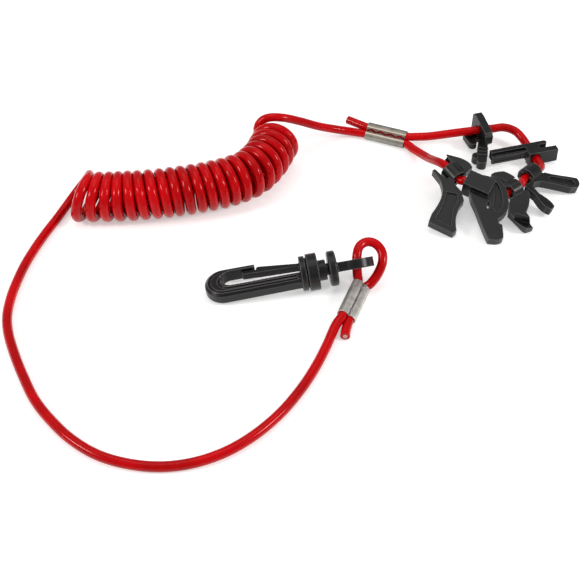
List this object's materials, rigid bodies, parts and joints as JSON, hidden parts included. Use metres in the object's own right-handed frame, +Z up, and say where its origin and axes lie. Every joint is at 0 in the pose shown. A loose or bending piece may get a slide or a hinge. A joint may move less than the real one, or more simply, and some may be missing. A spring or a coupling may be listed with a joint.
{
  "type": "kill switch safety lanyard",
  "caption": "Curly red safety lanyard for an outboard engine's kill switch, with a swivel snap hook and a crimped loop of switch keys",
  "frame": {"origin": "on the table, under the middle of the box round the hook, its swivel and the keys, with the cord and the ferrules left out", "axes": "X runs along the snap hook from its bow towards the keys, Y away from the viewer, Z up from the table"},
  "size_m": [0.2558, 0.194, 0.0225],
  "materials": {
    "cord": "glossy red vinyl",
    "ferrule": "matt tinned strip, folded and crimped",
    "moulding": "semi-matt moulded acetal",
    "keys": "semi-matt moulded nylon"
  },
  "bodies": {
    "lanyard": {"coil_cord": "cord", "tail_cord": "cord", "hook_loop_cord": "cord", "lead_cord": "cord", "key_loop_cord": "cord", "hook_ferrule": "ferrule", "key_ferrule": "ferrule"},
    "swivel": {"swivel_eye": "moulding"},
    "hook": {"snap_hook": "moulding"},
    "gate": {"hook_gate": "moulding"},
    "tee": {"tee_key": "keys"},
    "clip": {"clip_key": "keys"},
    "fork": {"fork_key": "keys"},
    "wedge": {"wedge_key": "keys"},
    "channel": {"channel_key": "keys"},
    "flared": {"flared_key": "keys"}
  },
  "joints": [
    {"name": "eye_swing", "type": "hinge", "parent": "lanyard", "child": "swivel", "pos_m": [-0.0241, -0.042, 0.0096], "axis": [-0.0805, 0.7071, 0.7025], "range_deg": [0, 15]},
    {"name": "hook_swivel", "type": "hinge", "parent": "swivel", "child": "hook", "pos_m": [-0.0474, -0.0417, 0.00737], "axis": [0.9935, 0, 0.1139], "continuous": true},
    {"name": "gate_hinge", "type": "hinge", "parent": "hook", "child": "gate", "pos_m": [-0.0469, -0.0377, 0.00743], "axis": [-0.1139, 0, 0.9935], "range_deg": [0, 10], "stiffness_Nm_per_rad": 0.2},
    {"name": "tee_turn", "type": "hinge", "parent": "lanyard", "child": "tee", "pos_m": [0.0514, 0.0426, 0.008], "axis": [-1, 0, 0], "range_deg": [0, 30]},
    {"name": "clip_turn", "type": "hinge", "parent": "lanyard", "child": "clip", "pos_m": [0.0723, 0.0218, 0.00485], "axis": [-0.1045, 0.9945, 0], "range_deg": [0, 30]},
    {"name": "fork_turn", "type": "hinge", "parent": "lanyard", "child": "fork", "pos_m": [0.065, 0.008, 0.0071], "axis": [-0.7879, -0.6129, 0.059], "range_deg": [0, 30]},
    {"name": "wedge_turn", "type": "hinge", "parent": "lanyard", "child": "wedge", "pos_m": [0.0525, -0.0035, 0.0083], "axis": [-0.9033, -0.4019, -0.15], "range_deg": [0, 12]},
    {"name": "channel_turn", "type": "hinge", "parent": "lanyard", "child": "channel", "pos_m": [0.037, 0.0008, 0.0106], "axis": [-0.8412, 0.5281, 0.1165], "range_deg": [0, 4]},
    {"name": "flared_turn", "type": "hinge", "parent": "lanyard", "child": "flared", "pos_m": [0.0291, 0.0084, 0.0113], "axis": [-0.443, 0.8669, 0.2285], "range_deg": [0, 15]}
  ]
}
